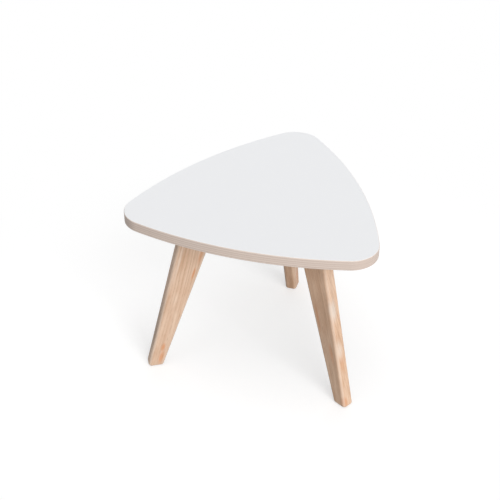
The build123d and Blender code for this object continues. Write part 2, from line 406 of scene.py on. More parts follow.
# %% A mark in the wood
mark, add = new_tree(
    "mark_in_the_wood",
    {"Wood": NOWHERE, "Uneven": 0.0, "Middle": NOWHERE, "Reach": NOWHERE},
    {"Amount": 0.0}, "ShaderNodeTree",
)
from_middle = add("VectorMath", ("Wood", "Middle"), "SUBTRACT")
in_reaches = add("VectorMath", (from_middle, "Reach"), "DIVIDE")
distance = add("VectorMath", (in_reaches,), "LENGTH")
ragged = add("Math", ("Uneven", 1.1, distance), "MULTIPLY_ADD")
amount = add("MapRange", (ragged, 0.3, 1.7, 1, 0), **SMOOTHLY)
add("GroupOutput", {"Amount": amount})

# %% Oak
TIP_REACH = 337 * MM  # from the table's centre line to the tip of a corner
CENTRE_Y = core_high.y - TIP_REACH
plate_low, plate_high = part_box("back_leg_plate")
PLATE_REACH = (plate_low.y + plate_high.y) / 2 - CENTRE_Y
FOOT_CENTRE_REACH = sum(corner.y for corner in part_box("back_foot_glide")) / 2 - CENTRE_Y
LEG_LEAN = math.atan((FOOT_CENTRE_REACH - PLATE_REACH) / BOARD_BOTTOM)
# The last of these tones is painted shade, a grey-brown laid on faces turned from the light, not a
# tone of the wood
WARM, PALE, BROWN, PAINTED_SHADE = "#D68A55", "#EFE0D2", "#B98A66", "#9A8069"


def make_oak(side, wood):
    """Oak for one leg, from its place in the tree, its tones and its marks."""
    finish, add = new_finish(f"oak_matt_lacquered_{side}_leg")
    turn, seed = CORNER_TURNS[side], wood["seed"]
    foot = (
        FOOT_CENTRE_REACH * math.cos(turn), CENTRE_Y + FOOT_CENTRE_REACH * math.sin(turn), 0
    )
    leg_turn = {"Rotation": (0, -LEG_LEAN, turn)}
    along = add("Mapping", {
        "Vector": "Object", "Location": foot, **leg_turn,
    }, vector_type="TEXTURE")
    # The trunk isn't straight: slow waves along its length shift the rings by a few millimetres
    slow = add("Mapping", {"Vector": along, "Location": (seed, 0, 0), "Scale": (1, 1, 0.22)})
    waves = add("TexNoise", (slow, 1 / (45 * MM), 2, 0.5))
    shift = add("VectorMath", (waves.outputs["Color"], (0.5, 0.5, 0.5)), "SUBTRACT")
    bent = add("VectorMath", (shift, (14 * MM, 14 * MM, 0), along), "MULTIPLY_ADD")
    pith_lean = [math.radians(angle) for angle in wood["pith_lean"]]
    from_pith = add("Mapping", {
        "Vector": bent, "Location": mm(*wood["pith"], 0), "Rotation": (*pith_lean, 0),
    }, vector_type="TEXTURE")
    flat = add("VectorMath", (from_pith, (1, 1, 0)), "MULTIPLY")
    radius = add("VectorMath", (flat,), "LENGTH")
    ring_count = add("Math", (radius, wood["ring"] * MM), "DIVIDE")
    # Good and poor summers: the width of the rings varies
    summers = add("TexNoise", {"W": ring_count, "Scale": 0.45, "Detail": 1}, noise_dimensions="1D")
    uneven = add("Math", (summers, 1.6, ring_count), "MULTIPLY_ADD")
    season = add("Math", (uneven,), "FRACT")
    # A ring darkens over its last tenth and pales again over its first half
    closing = add("MapRange", (season, 0.88, 1), **SMOOTHLY)
    opening = add("MapRange", (season, 0, 0.55, 1, 0), **SMOOTHLY)
    early = add("Math", (closing, opening), "MAXIMUM")

    # Pores are 0.3 mm across and several millimetres long
    pore_space = add("Mapping", {"Vector": bent, "Location": (0, seed, 0), "Scale": (1, 1, 0.05)})
    pore_cells = add("TexVoronoi", {"Vector": pore_space, "Scale": 1 / (0.9 * MM)})
    pores = add("MapRange", (pore_cells, 0.12, 0.38, 1, 0))
    early_pores = add("Math", (early, 0.8, 0.2), "MULTIPLY_ADD")
    open_pores = add("Math", (pores, early_pores), "MULTIPLY")

    # Streaks of fibre from 1 to 6 mm wide and a hand long, and broad drifts of tone
    streak_space = add("Mapping", {
        "Vector": bent, "Location": (0, 0, seed), "Scale": (1, 1, 0.05),
    })
    streaks = add("TexNoise", (streak_space, 1 / (6.5 * MM), 4, 0.55))
    streaky = add("MapRange", (streaks, 0.28, 0.72))
    patch_space = add("Mapping", {
        "Vector": bent, "Location": (seed, seed, 0), "Scale": (1, 1, 0.35),
    })
    patches = add("TexNoise", (patch_space, 1 / (18 * MM), 3, 0.55))
    drift = add("MapRange", (patches, 0.33, 0.67))

    deep, fair = wood["deep"], wood["fair"]
    fibre_tone = add("Mix", (streaky, deep, fair), **IN_COLOUR)
    drift_tone = add("Mix", (drift, deep, fair), **IN_COLOUR)
    colour = add("Mix", (0.45, fibre_tone, drift_tone), **IN_COLOUR)
    # The rings are plain to see at the top, and the wood near the foot is more even
    up_the_leg = add("SeparateXYZ", (bent,)).outputs["Z"]
    ring_strength = add("MapRange", (up_the_leg, 130 * MM, 290 * MM, 0.16, 0.42), **SMOOTHLY)
    ring_amount = add("Math", (early, ring_strength), "MULTIPLY")
    colour = add("Mix", (ring_amount, colour, wood["early"]), **IN_COLOUR)
    # Painted light: the tone is scaled between 180 and 330 mm up the leg, paler at the top of the
    # right leg and a little darker on the back one
    painted_light_up_leg = add("MapRange", (up_the_leg, 180 * MM, 330 * MM, 1, wood["paler_at_top"]))
    colour = add("VectorMath", {0: colour, "Scale": painted_light_up_leg}, "SCALE")
    ragged = add("Math", (streaks, 0.5), "SUBTRACT")
    for tone, strength, middle, reach in wood["marks"]:
        patch = add("Group", {
            "Wood": bent, "Uneven": ragged, "Middle": mm(*middle), "Reach": mm(*reach),
        }, node_tree=mark)
        amount = add("Math", (patch, strength), "MULTIPLY")
        colour = add("Mix", (amount, colour, tone), **IN_COLOUR)
    # A rounded edge faces along none of the leg's own axes. There the colour turns paler, a
    # painted highlight along the edge
    facing = add("Mapping", {"Vector": "Normal", **leg_turn}, vector_type="TEXTURE")
    directness = add("VectorMath", (facing,), "ABSOLUTE")
    shares = add("SeparateXYZ", (directness,)).outputs
    along_x_or_y = add("Math", (shares["X"], shares["Y"]), "MAXIMUM")
    squarest = add("Math", (along_x_or_y, shares["Z"]), "MAXIMUM")
    sanded = add("MapRange", (squarest, 0.985, 0.85, 0, 0.4), **SMOOTHLY)
    colour = add("Mix", (sanded, colour, wood["sanded"]), **IN_COLOUR)
    pore_amount = add("Math", (open_pores, 0.45), "MULTIPLY")
    colour = add("Mix", (pore_amount, colour, "#8A6340"), **IN_COLOUR)
    grain_height = add("Math", (streaks, open_pores), "SUBTRACT")
    end_finish(add, colour, (grain_height, 0.3, 0.12), (open_pores, 0.42, 0.68), LACQUERED_WOOD)
    return finish


# Places are in millimetres from the middle of the foot: outwards, across and up along the leg
WOODS = {
    "left": {
        "pith": (66, 50), "pith_lean": (1.0, 3.1), "ring": 7.5, "seed": 3.1,
        "deep": "#D2AC8F", "fair": "#EACFB8", "early": "#BE9879", "sanded": "#EDDBCB",
        "paler_at_top": 1.0,
        "marks": [
            (WARM, 0.4, (-25, 15, 350), (3.5, 9, 22)),
            (WARM, 0.65, (-21, 15, 298), (2.4, 9, 16)),
            (WARM, 0.65, (-4, 15, 65), (4, 9, 11)),
            (WARM, 0.6, (-7, 15, 34), (5, 9, 17)),
            # Painted shade down the outer face, which turns from the light
            (PAINTED_SHADE, 0.75, (27, 0, 75), (6, 17, 130)),
            (BROWN, 0.35, (15, 15, 330), (3.5, 12, 60)),
            (BROWN, 0.3, (30, 15, 345), (3, 12, 45)),
            (PALE, 0.3, (25, 15, 318), (4, 12, 60)),
        ],
    },
    "right": {
        "pith": (-38, -30), "pith_lean": (1.5, -1.2), "ring": 3.6, "seed": 17.4,
        "deep": "#CEA585", "fair": "#EDCFB5", "early": "#BA8E6D", "sanded": "#F0DAC8",
        "paler_at_top": 1.2,
        "marks": [
            (PALE, 0.9, (33, -6, 268), (9, 9, 26)),
            (BROWN, 0.45, (30, 1, 199), (8, 4, 24)),
            (WARM, 0.25, (26, -2, 123), (7, 7, 22)),
            (PALE, 0.55, (27, -4, 158), (7, 7, 24)),
            (WARM, 0.45, (20, -12, 14), (8, 8, 13)),
            (BROWN, 0.35, (38, -2, 345), (9, 4, 40)),
            (WARM, 0.4, (-16, -15, 240), (5, 9, 28)),
            (WARM, 0.4, (6, -15, 150), (5, 9, 24)),
            (BROWN, 0.3, (10, -15, 265), (6, 9, 40)),
            # Painted shade high on the outer face
            (PAINTED_SHADE, 0.2, (38, 0, 290), (7, 14, 90)),
            (PALE, 0.25, (41, 0, 335), (8, 14, 50)),
        ],
    },
    "back": {
        "pith": (30, 48), "pith_lean": (-1.8, 0.8), "ring": 3.8, "seed": 29.7,
        "deep": "#C39573", "fair": "#E4C1A3", "early": "#AE7F5D", "sanded": "#E9CFB8",
        "paler_at_top": 0.97,
        "marks": [(WARM, 0.6, (0, -15, 45), (6, 9, 22)), (WARM, 0.5, (12, -15, 110), (5, 9, 26))],
    },
}
oak = {side: make_oak(side, wood) for side, wood in WOODS.items()}
print("oak for", ", ".join(oak))

# %% [markdown]
# ## Powder coated steel
# The plates are sprayed with black powder that melts into a tough skin. It flows out in an uneven
# texture like orange peel, with bumps about a millimetre apart, so its gloss is broken up.

# %% Powder coated steel
powder_coat, add = new_finish("black_powder_coated_steel")
peel = add("TexNoise", ("Object", 1 / (1.1 * MM), 2, 0.4))
dust = add("TexNoise", ("Object", 1 / (30 * MM), 3))
colour = add("Mix", (dust, "#1C1D1F", "#2B2C2F"), **IN_COLOUR)
end_finish(add, colour, (peel, 0.5, 0.06), (peel, 0.38, 0.55), {"IOR": 1.5})

# %% [markdown]
# ## Zinc plated steel
# The screws are tumbled together in a zinc bath. They come out bright but not mirror-like, with a
# faint bluish haze from the passivation and small dents and scuffs.

# %% Zinc plated steel
zinc, add = new_finish("zinc_plated_steel_tumbled")
haze = add("TexNoise", ("Object", 1 / (3 * MM), 3))
colour = add("Mix", (haze, "#B9C2CC", "#D9D9D2"), **IN_COLOUR)
scuffs = add("TexNoise", ("Object", 1 / (0.6 * MM), 3, 0.7))
end_finish(add, colour, (scuffs, 0.25, 0.03), (scuffs, 0.2, 0.42), {"Metallic": 1})

# %% [markdown]
# ## Turned brass
# The threaded inserts are turned from brass bar. The tool leaves fine rings round them, here 0.25
# mm apart, and the metal dulls slightly between them.

# %% Turned brass
TOOL_MARK_SPACING = 0.25 * MM

brass, add = new_finish("turned_brass")
tarnish = add("TexNoise", ("Object", 1 / (4 * MM), 3))
colour = add("Mix", (tarnish, "#B88A46", "#D8B46C"), **IN_COLOUR)
wave_scale = 1 / TOOL_MARK_SPACING / 20  # a wave texture has 20 bands for each unit
tool_marks = add("TexWave", {
    "Vector": "Object", "Scale": wave_scale, "Distortion": 0.6,
}, bands_direction="Z").outputs["Fac"]
end_finish(add, colour, (tool_marks, 0.3, 0.02), (tarnish, 0.24, 0.4), {"Metallic": 1})

# %% [markdown]
# ## Moulded nylon
# The glides are natural nylon, moulded, a milky off-white that turns slightly yellow. Their lower
# face is scuffed by the floor: short fine scratches, rougher and a little greyer.

# %% Moulded nylon
SCUFFED_BELOW = 0.7 * MM

nylon, add = new_finish("natural_moulded_nylon")
height = add("SeparateXYZ", ("Object",)).outputs["Z"]
touching = add("MapRange", (height, 0, SCUFFED_BELOW, 1, 0))
milk = add("TexNoise", ("Object", 1 / (6 * MM), 2))
clean = add("Mix", (milk, "#DDD8CB", "#E9E5DA"), **IN_COLOUR)
drawn_out = add("Mapping", {
    "Vector": "Object", "Rotation": (0, 0, math.radians(35)), "Scale": (1, 9, 1),
})
scratches = add("TexNoise", (drawn_out, 1 / (2.5 * MM), 4, 0.7))
scratched = add("MapRange", (scratches, 0.5, 0.68, 0, 0.6))
worn = add("Math", (scratched, touching), "MULTIPLY")
colour = add("Mix", (worn, clean, "#9E998C"), **IN_COLOUR)
end_finish(add, colour, (worn, 0.4, 0.05), (worn, 0.36, 0.7), {"IOR": 1.53})

# %% [markdown]
# ## Dressing the frame's own pieces
# The legs, plates and glides have the right shape already, down to the rounded edges of the oak.
# They stay as they are and get their finish.

# %% Dress the frame's pieces
dressed = {}
for side in CORNER_TURNS:
    dressed[f"{side}_leg"] = oak[side]
    dressed[f"{side}_leg_plate"] = powder_coat
    dressed[f"{side}_foot_glide"] = nylon
for name, finish in dressed.items():
    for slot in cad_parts[name].material_slots:
        slot.material = finish
print("dressed:", ", ".join(sorted(dressed)))

# %% [markdown]
# ## Shapes from rules
# The board, its screws and its inserts follow rules, so Geometry Nodes make them. A tree has named
# inputs for its sizes. One helper ends a tree: its copies become real, and get their finish. The
# other puts a tree on an empty object, sets its inputs, and keeps the result as a plain mesh that
# stands for the frame's own piece.

# %% From a tree to a piece
SHARP_ANGLE = math.radians(34)
LEVEL = 0.9999  # how nearly upright a level face's normal is


def end_shape(add, geometry, finish):
    """Ends a tree: copies become real, and get their finish."""
    whole = add("RealizeInstances", {"Geometry": geometry})
    finished = add("SetMaterial", {"Geometry": whole, "Material": finish})
    add("GroupOutput", {"Geometry": finished})


def make_piece(tree, sizes, replaced, prefix=""):
    """Turns a tree, with its inputs set, into a finished piece that stands for a node."""
    name = prefix + tree.name
    piece = bpy.data.objects.new(name, bpy.data.meshes.new(name))
    scene.collection.objects.link(piece)
    modifier = piece.modifiers.new("shape", "NODES")
    modifier.node_group = tree
    for socket in tree.interface.items_tree:
        if socket.in_out == "INPUT":
            modifier[socket.identifier] = sizes.get(socket.name, socket.default_value)
    evaluated = piece.evaluated_get(bpy.context.evaluated_depsgraph_get())
    shaped = bpy.data.meshes.new_from_object(evaluated)
    piece.modifiers.remove(modifier)
    shaped.name = name
    piece.data = shaped
    shaped.shade_smooth()
    shaped.set_sharp_from_angle(angle=SHARP_ANGLE)
    # A level face is shaded flat, or the soft rim round it would tilt the light across all of it
    for face in shaped.polygons:
        if abs(face.normal.z) > LEVEL:
            face.use_smooth = False
    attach(piece, "root")
    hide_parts(replaced)
    print(name, len(shaped.vertices), "points,", len(shaped.polygons), "faces")


# %% [markdown]
# ## The outline of the board
# Its outline is a rounded triangle of six arcs: a short one round each corner and a long flat one
# along each side. All six have the same number of points, so a point's number tells its arc and
# its place along it. The arc's centre and radius follow, and an inset only makes the radius
# smaller. That is why an outline drawn in by an edge's bevel keeps its six arcs.

# %% The outline's rule
CORNER_RADIUS = 68 * MM
CORNER_CENTRE_REACH = TIP_REACH - CORNER_RADIUS
SIDE_RADIUS = 962 * MM
POINTS_PER_ARC = 52
SIXTH = math.radians(60)  # of a turn: from one arc's middle to the next

side_to_corner = SIDE_RADIUS - CORNER_RADIUS
half_span = CORNER_CENTRE_REACH * math.sin(SIXTH)
SIDE_CENTRE_REACH = (
    math.sqrt(side_to_corner**2 - half_span**2) - CORNER_CENTRE_REACH * math.cos(SIXTH)
)
SIDE_HALF_ANGLE = math.asin(half_span / side_to_corner)
CORNER_HALF_ANGLE = SIXTH - SIDE_HALF_ANGLE


def in_groups(add, number, size):
    """Which group of this size a number falls in, and its place in the group."""
    group = add("IntegerMath", (number, size), "DIVIDE_FLOOR")
    return group, add("IntegerMath", (number, size), "FLOORED_MODULO")


def on_circle(add, radius, angle, height=0):
    """A point at a radius and an angle round the upright axis, and at a height."""
    return add("VectorRotate", {"Vector": (radius, 0, height), "Angle": angle},
               rotation_type="Z_AXIS")


outline, add = new_tree("rounded_triangle", {
    "Column": 0, "Inset": 0.0, "Points Per Arc": POINTS_PER_ARC, "Centre Y": CENTRE_Y,
    "Corner Centre Reach": CORNER_CENTRE_REACH, "Corner Radius": CORNER_RADIUS,
    "Corner Half Angle": CORNER_HALF_ANGLE, "Side Centre Reach": SIDE_CENTRE_REACH,
    "Side Radius": SIDE_RADIUS, "Side Half Angle": SIDE_HALF_ANGLE,
}, {"Position": NOWHERE})
arc, step = in_groups(add, "Column", "Points Per Arc")
on_side = add("IntegerMath", (arc, 2), "FLOORED_MODULO")
# The middle of arc 0 faces -30 degrees, and each arc's middle is 60 degrees further round
middle = add("Math", (arc, SIXTH, CORNER_TURNS["right"]), "MULTIPLY_ADD")
share = add("Math", (step, "Points Per Arc"), "DIVIDE")
from_middle = add("Math", (share, 2, -1), "MULTIPLY_ADD")
side_reach = add("Math", ("Side Centre Reach", -1), "MULTIPLY")
half_angle, reach, radius = (
    add("Switch", (on_side, at_corner, at_side), input_type="FLOAT") for at_corner, at_side in (
        ("Corner Half Angle", "Side Half Angle"),
        ("Corner Centre Reach", side_reach),
        ("Corner Radius", "Side Radius"),
    )
)
drawn_in = add("Math", (radius, "Inset"), "SUBTRACT")
swing = add("Math", (from_middle, half_angle), "MULTIPLY")
swung = on_circle(add, drawn_in, swing)
from_centre = add("VectorMath", (swung, (reach, 0, 0)), "ADD")
turned_out = add("VectorRotate", {"Vector": from_centre, "Angle": middle}, rotation_type="Z_AXIS")
placed = add("VectorMath", (turned_out, (0, "Centre Y", 0)), "ADD")
add("GroupOutput", {"Position": placed})
print("half angles:", round(math.degrees(SIDE_HALF_ANGLE), 2),
      round(math.degrees(CORNER_HALF_ANGLE), 2))

# %% [markdown]
# ## Places under a corner
# A leg's plate lies out from the table's centre line, turned towards its corner. The screws, the
# inserts and the holes for them are first made round the origin, and this small tree then moves
# them out, turns them and lifts them.

# %% To a corner
to_corner, add = new_tree("to_corner", {
    "Geometry": None, "Reach": PLATE_REACH, "Turn": 0.0, "Height": 0.0, "Centre Y": CENTRE_Y,
})
moved = add("Transform", {"Geometry": "Geometry", "Translation": ("Reach", 0, "Height")})
turned_about = add("Transform", {"Geometry": moved, "Rotation": (0, 0, "Turn")})
centred = add("Transform", {"Geometry": turned_about, "Translation": (0, "Centre Y", 0)})
add("GroupOutput", {"Geometry": centred})

# %% [markdown]
# ## One layer of the board
# A layer is a closed drum. Its points stand in rings from its upper face down, and a ring's number
# gives its height. All three layers share one routed edge, a bevel of 1.2 mm at both rims, so the
# inset depends only on how near a point is to a face of the board, and each layer takes its own
# part of it. The bevel's corners are sanded soft, which a smooth maximum does.
#
# In the plywood, the rings crowd towards the glue lines. There the edge is cut in by a fine
# groove, and every second ply stands back a little, as sanded end grain does.

# %% A layer's rule
def circle_reach(add, radius, height):
    """How far out a circle reaches at a height off its middle."""
    squares = [add("Math", (side, 2), "POWER") for side in (radius, height)]
    return add("Math", (add("Math", squares, "SUBTRACT"),), "SQRT")


def numbered_drum(add, columns, rings):
    """A drum, with each point's ring, counted from its upper face down, and column."""
    drum = add("MeshCylinder", {"Vertices": columns, "Side Segments": rings})
    return drum, *in_groups(add, add("InputIndex"), columns)


layer, add = new_tree("board_layer", {
    "Layer Bottom": CORE_BOTTOM, "Layer Top": CORE_BOTTOM + PLY_COUNT * PLY,
    "Board Bottom": BOARD_BOTTOM, "Board Top": BOARD_TOP, "Bevel": 1.2 * MM,
    "Sanded Softness": 0.5 * MM, "Rim Radius": 0.0, "Ply Count": PLY_COUNT,
    "Rings Per Ply": 8, "Points Per Arc": POINTS_PER_ARC,
    "Glue Groove": 0.0, "Ply Relief": 0.0,
})
columns = add("IntegerMath", ("Points Per Arc", 6), "MULTIPLY")
ring_total = add("IntegerMath", ("Ply Count", "Rings Per Ply"), "MULTIPLY")
drum, ring, column = numbered_drum(add, columns, ring_total)
ply, step = in_groups(add, ring, "Rings Per Ply")
# A cosine crowds the rings towards a ply's two faces
share = add("Math", (step, "Rings Per Ply"), "DIVIDE")
half_turn = add("Math", (share, math.pi), "MULTIPLY")
wave = add("Math", (half_turn,), "COSINE")
crowded = add("Math", (wave, -0.5, 0.5), "MULTIPLY_ADD")
plies_down = add("Math", (ply, crowded), "ADD")
drop = add("Math", (plies_down, "Ply Count"), "DIVIDE")
thickness = add("Math", ("Layer Bottom", "Layer Top"), "SUBTRACT")
height = add("Math", (drop, thickness, "Layer Top"), "MULTIPLY_ADD")
above = add("Math", (height, "Board Bottom"), "SUBTRACT")
under = add("Math", ("Board Top", height), "SUBTRACT")
to_face = add("Math", (above, under), "MINIMUM")
cut = add("Math", ("Bevel", to_face), "SUBTRACT")
bevelled = add("Math", (cut, 0, "Sanded Softness"), "SMOOTH_MAX")
# The rim of the board's face is a quarter round of its own
rim = add("Math", ("Rim Radius", 0.001 * MM), "MAXIMUM")
into_rim = add("Math", (rim, to_face), "SUBTRACT")
positive = add("Math", (into_rim, 0), "MAXIMUM")
rounded = add("Math", (rim, circle_reach(add, rim, positive)), "SUBTRACT")
at_glue = add("Math", (step, 0.5), "LESS_THAN")
crossed = add("IntegerMath", (ply, 2), "FLOORED_MODULO")
off_glue = add("Math", (1, at_glue), "SUBTRACT")
crossed_face = add("Math", (crossed, off_glue), "MULTIPLY")
inset = add("Math", (bevelled, rounded), "ADD")
grooved = add("Math", (at_glue, "Glue Groove", inset), "MULTIPLY_ADD")
relieved = add("Math", (crossed_face, "Ply Relief", grooved), "MULTIPLY_ADD")
on_outline = add("Group", {
    "Column": column, "Inset": relieved, "Points Per Arc": "Points Per Arc",
}, node_tree=outline)
point = add("VectorMath", (on_outline, (0, 0, height)), "ADD")
shaped = add("SetPosition", {"Geometry": drum, "Position": point})
add("GroupOutput", {"Geometry": shaped})

# %% [markdown]
# ## The three layers
# The plywood has blind holes for twelve threaded inserts, four over each leg's plate, and the
# underside laminate has the same holes right through. They are drilled by taking twelve drums
# away. The laminates are the same rule with one ply and a rim that is rounded by 0.15 mm.

# %% Plywood and laminates
SCREW_FROM_PLATE_END = 14 * MM
SCREW_FROM_PLATE_SIDE = 12.5 * MM
SPACINGS = {
    "Spacing Out": plate_high.y - plate_low.y - 2 * SCREW_FROM_PLATE_END,
    "Spacing Across": plate_high.x - plate_low.x - 2 * SCREW_FROM_PLATE_SIDE,
}
INSERTS_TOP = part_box("back_plate_inserts")[1].z


def four_places(add):
    """The corners of a rectangle, where a plate has its machine screws."""
    return add("MeshGrid", {
        "Size X": "Spacing Out", "Size Y": "Spacing Across", "Vertices X": 2, "Vertices Y": 2,
    })


def drilled_layer(name, finish, drilled):
    """A tree for one layer: its shape, its holes if it has any, and its finish."""
    sizes = {
        socket.name: socket.default_value
        for socket in layer.interface.items_tree if socket.in_out == "INPUT"
    }
    tree, add = new_tree(name, {
        **sizes, "Hole Radius": 5.1 * MM, "Hole Start": BOARD_BOTTOM - 4 * MM,
        "Hole End": INSERTS_TOP + 1 * MM, **SPACINGS,
    })
    body = add("Group", {size: size for size in sizes}, node_tree=layer)
    if drilled:
        depth = add("Math", ("Hole End", "Hole Start"), "SUBTRACT")
        drill_middle = add("Math", (depth, 0.5, "Hole Start"), "MULTIPLY_ADD")
        drill = add("MeshCylinder", {"Vertices": 48, "Radius": "Hole Radius", "Depth": depth})
        drills = add("InstanceOnPoints", {"Points": four_places(add), "Instance": drill})
        corners = [add("Group", {"Geometry": drills, "Turn": turn, "Height": drill_middle},
                       node_tree=to_corner) for turn in CORNER_TURNS.values()]
        together = add("JoinGeometry", {"Geometry": corners})
        solid_drills = add("RealizeInstances", {"Geometry": together})
        body = add("MeshBoolean", {"Mesh 1": body, "Mesh 2": solid_drills}, "DIFFERENCE",
                   solver="MANIFOLD")
    end_shape(add, body, finish)
    return tree


LAMINATE_RIM = {"Rim Radius": 0.15 * MM, "Ply Count": 1, "Sanded Softness": 0.1 * MM}
make_piece(drilled_layer("plywood_board", plywood, True), {
    "Glue Groove": 0.06 * MM, "Ply Relief": 0.03 * MM,
}, "plywood_core")
make_piece(drilled_layer("laminate_of_top", laminate, False), {
    "Layer Bottom": CORE_TOP, "Layer Top": BOARD_TOP, **LAMINATE_RIM,
}, "top_laminate")
make_piece(drilled_layer("laminate_of_underside", laminate, True), {
    "Layer Bottom": BOARD_BOTTOM, "Layer Top": CORE_BOTTOM, **LAMINATE_RIM,
}, "underside_laminate")

# %% [markdown]
# ## A threaded rod
# A thread is a ridge that climbs by one pitch each turn. On a drum whose points stand in rings,
# the ridge is high where a point's height and its angle round the rod agree, so its radius is a
# wave of both together. The ridge fades in and out at the ends of the thread, a plain shank may
# come before it, and the rod may run to a point.

# %% The rod's rule
rod, add = new_tree("threaded_rod", {
    "Length": 16 * MM, "Shank Length": 3 * MM, "Shank Radius": 3 * MM,
    "Root Radius": 2.4 * MM, "Crest Radius": 3 * MM, "Pitch": 1 * MM, "Fade": 0.8 * MM,
    "Tip Length": 0.2 * MM, "Columns": 24, "Rings": 192,
})
drum, ring, column = numbered_drum(add, "Columns", "Rings")
turns = add("Math", (column, "Columns"), "DIVIDE")
down = add("Math", (ring, "Rings"), "DIVIDE")
from_tip = add("Math", (down, "Length"), "MULTIPLY")
height = add("Math", ("Length", from_tip), "SUBTRACT")
pitches = add("Math", (height, "Pitch"), "DIVIDE")
phase = add("Math", (pitches, turns), "SUBTRACT")
ridge = add("Math", (phase, 0.5), "PINGPONG")
flank = add("MapRange", (ridge, 0.06, 0.44))
past_shank = add("Math", (height, "Shank Length"), "SUBTRACT")
fade_in = add("Math", (past_shank, "Fade"), "DIVIDE", use_clamp=True)
fade_out = add("Math", (from_tip, "Fade"), "DIVIDE", use_clamp=True)
faded = add("Math", (fade_in, fade_out), "MULTIPLY")
height_of_ridge = add("Math", (flank, faded), "MULTIPLY")
thread_depth = add("Math", ("Crest Radius", "Root Radius"), "SUBTRACT")
threaded = add("Math", (height_of_ridge, thread_depth, "Root Radius"), "MULTIPLY_ADD")
on_shank = add("Math", (height, "Shank Length"), "LESS_THAN")
radius = add("Switch", (on_shank, threaded, "Shank Radius"), input_type="FLOAT")
nearly = add("Math", (from_tip, "Tip Length"), "DIVIDE")
taper = add("MapRange", (nearly, 0, 1, 0.12, 1), **SMOOTHLY)
tapered = add("Math", (radius, taper), "MULTIPLY")
angle = add("Math", (turns, 2 * math.pi), "MULTIPLY")
point = on_circle(add, tapered, angle, height)
shaped = add("SetPosition", {"Geometry": drum, "Position": point})
add("GroupOutput", {"Geometry": shaped})

# %% [markdown]
# ## Set out on a plate
# Each plate has four machine screws, four inserts over them and two wood screws. One of a kind is
# made at the origin. This tree sets it at each place of a pattern, turned by a fixed random angle
# as a hand-driven screw is, and takes the pattern to its corner. One helper lifts the drums and
# cones that they are made of, and another ends each kind's tree and makes its three pieces.

# %% Set out on a plate
set_out, add = new_tree("set_out_on_a_plate", {
    "Geometry": None, "Places": None, "Turn": 0.0, "Height": 0.0, "Seed": 0,
})
driven = add("RandomValue", {"Min": 0.0, "Max": math.pi, "Seed": "Seed"})
copies = add("InstanceOnPoints", {
    "Points": "Places", "Instance": "Geometry", "Rotation": (0, 0, driven),
})
at_corner = add("Group", {
    "Geometry": copies, "Turn": "Turn", "Height": "Height",
}, node_tree=to_corner)
add("GroupOutput", {"Geometry": at_corner})


def lifted(add, kind, sizes, height):
    """A drum or a cone of these sizes, lifted to a height."""
    return add("Transform", {"Geometry": add(kind, sizes), "Translation": (0, 0, height)})


def make_fasteners(tree, fastener, places, finish, replaced):
    """Ends the tree of one kind of fastener, and makes its piece at each corner."""
    add = partial(put, tree)
    # Where two shapes were cut along each other, points that nearly coincide become one
    clean = add("MergeByDistance", {"Geometry": fastener, "Distance": 0.005 * MM})
    on_plate = add("Group", {
        "Geometry": clean, "Places": places, "Turn": "Turn", "Height": "Height", "Seed": "Seed",
    }, node_tree=set_out)
    end_shape(add, on_plate, finish)
    for seed, (side, turn) in enumerate(CORNER_TURNS.items()):
        sizes = {"Turn": turn, "Seed": seed}
        make_piece(tree, sizes, f"{side}_{replaced}", f"{side}_")


# %% [markdown]
# ## Button head screws
# The screws that hold a plate on the board are M6 with a domed button head and a 4 mm hex socket.
# The head is a drum whose rings follow the dome's arc, joined to a threaded rod. The socket is a
# six-sided drum taken out of it, with a drilled cone at its end and a small bevel at its mouth.

# %% Button head screws
HEAD_COLUMNS, HEAD_RINGS = 48, 12
LEG_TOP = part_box("back_leg")[1].z

screw, add = new_tree("button_head_screws", {
    "Head Radius": 5.25 * MM, "Head Height": 3.3 * MM, "Dome Radius": 5.25 * MM,
    "Dome Off Axis": 0.325 * MM, "Dome Behind Seat": 1.217 * MM, "Hex Across Flats": 4 * MM,
    "Hex Depth": 2.1 * MM, "Length": 16 * MM, **SPACINGS, "Turn": 0.0, "Height": LEG_TOP,
    "Seed": 5,
})
drum, ring, column = numbered_drum(add, HEAD_COLUMNS, HEAD_RINGS)
share = add("Math", (ring, HEAD_RINGS), "DIVIDE")
below_seat = add("Math", (share, "Head Height"), "MULTIPLY")
from_dome = add("Math", (below_seat, "Dome Behind Seat"), "ADD")
dome = add("Math", (circle_reach(add, "Dome Radius", from_dome), "Dome Off Axis"), "ADD")
radius = add("Math", (dome, "Head Radius"), "MINIMUM")
drop = add("Math", (below_seat, -1), "MULTIPLY")
angle = add("Math", (column, 2 * math.pi / HEAD_COLUMNS), "MULTIPLY")
point = on_circle(add, radius, angle, drop)
head = add("SetPosition", {"Geometry": drum, "Position": point})
shaft = add("Group", {"Length": "Length"}, node_tree=rod)

# %% The hex socket, and the screws in place
hex_radius = add("Math", ("Hex Across Flats", 1 / math.sqrt(3)), "MULTIPLY")
hex_length = add("Math", ("Hex Depth", 2), "MULTIPLY")
hex_drop = add("Math", ("Head Height", -1), "MULTIPLY")
hex_cut = lifted(add, "MeshCylinder", {
    "Vertices": 6, "Radius": hex_radius, "Depth": hex_length,
}, hex_drop)
drill_height = add("Math", ("Hex Depth", "Head Height"), "SUBTRACT")
drill_cut = lifted(add, "MeshCone", {
    "Vertices": 24, "Radius Top": 0.0, "Radius Bottom": 1.9 * MM, "Depth": 0.8 * MM,
}, drill_height)
mouth_cut = lifted(add, "MeshCone", {
    "Vertices": 48, "Radius Top": 1.95 * MM, "Radius Bottom": 2.75 * MM, "Depth": 0.8 * MM,
}, hex_drop)
solid = add("MeshBoolean", {"Mesh": [head, shaft]}, "UNION", solver="EXACT")
socketed = add("MeshBoolean", {
    "Mesh 1": solid, "Mesh 2": [hex_cut, drill_cut, mouth_cut],
}, "DIFFERENCE", solver="EXACT")
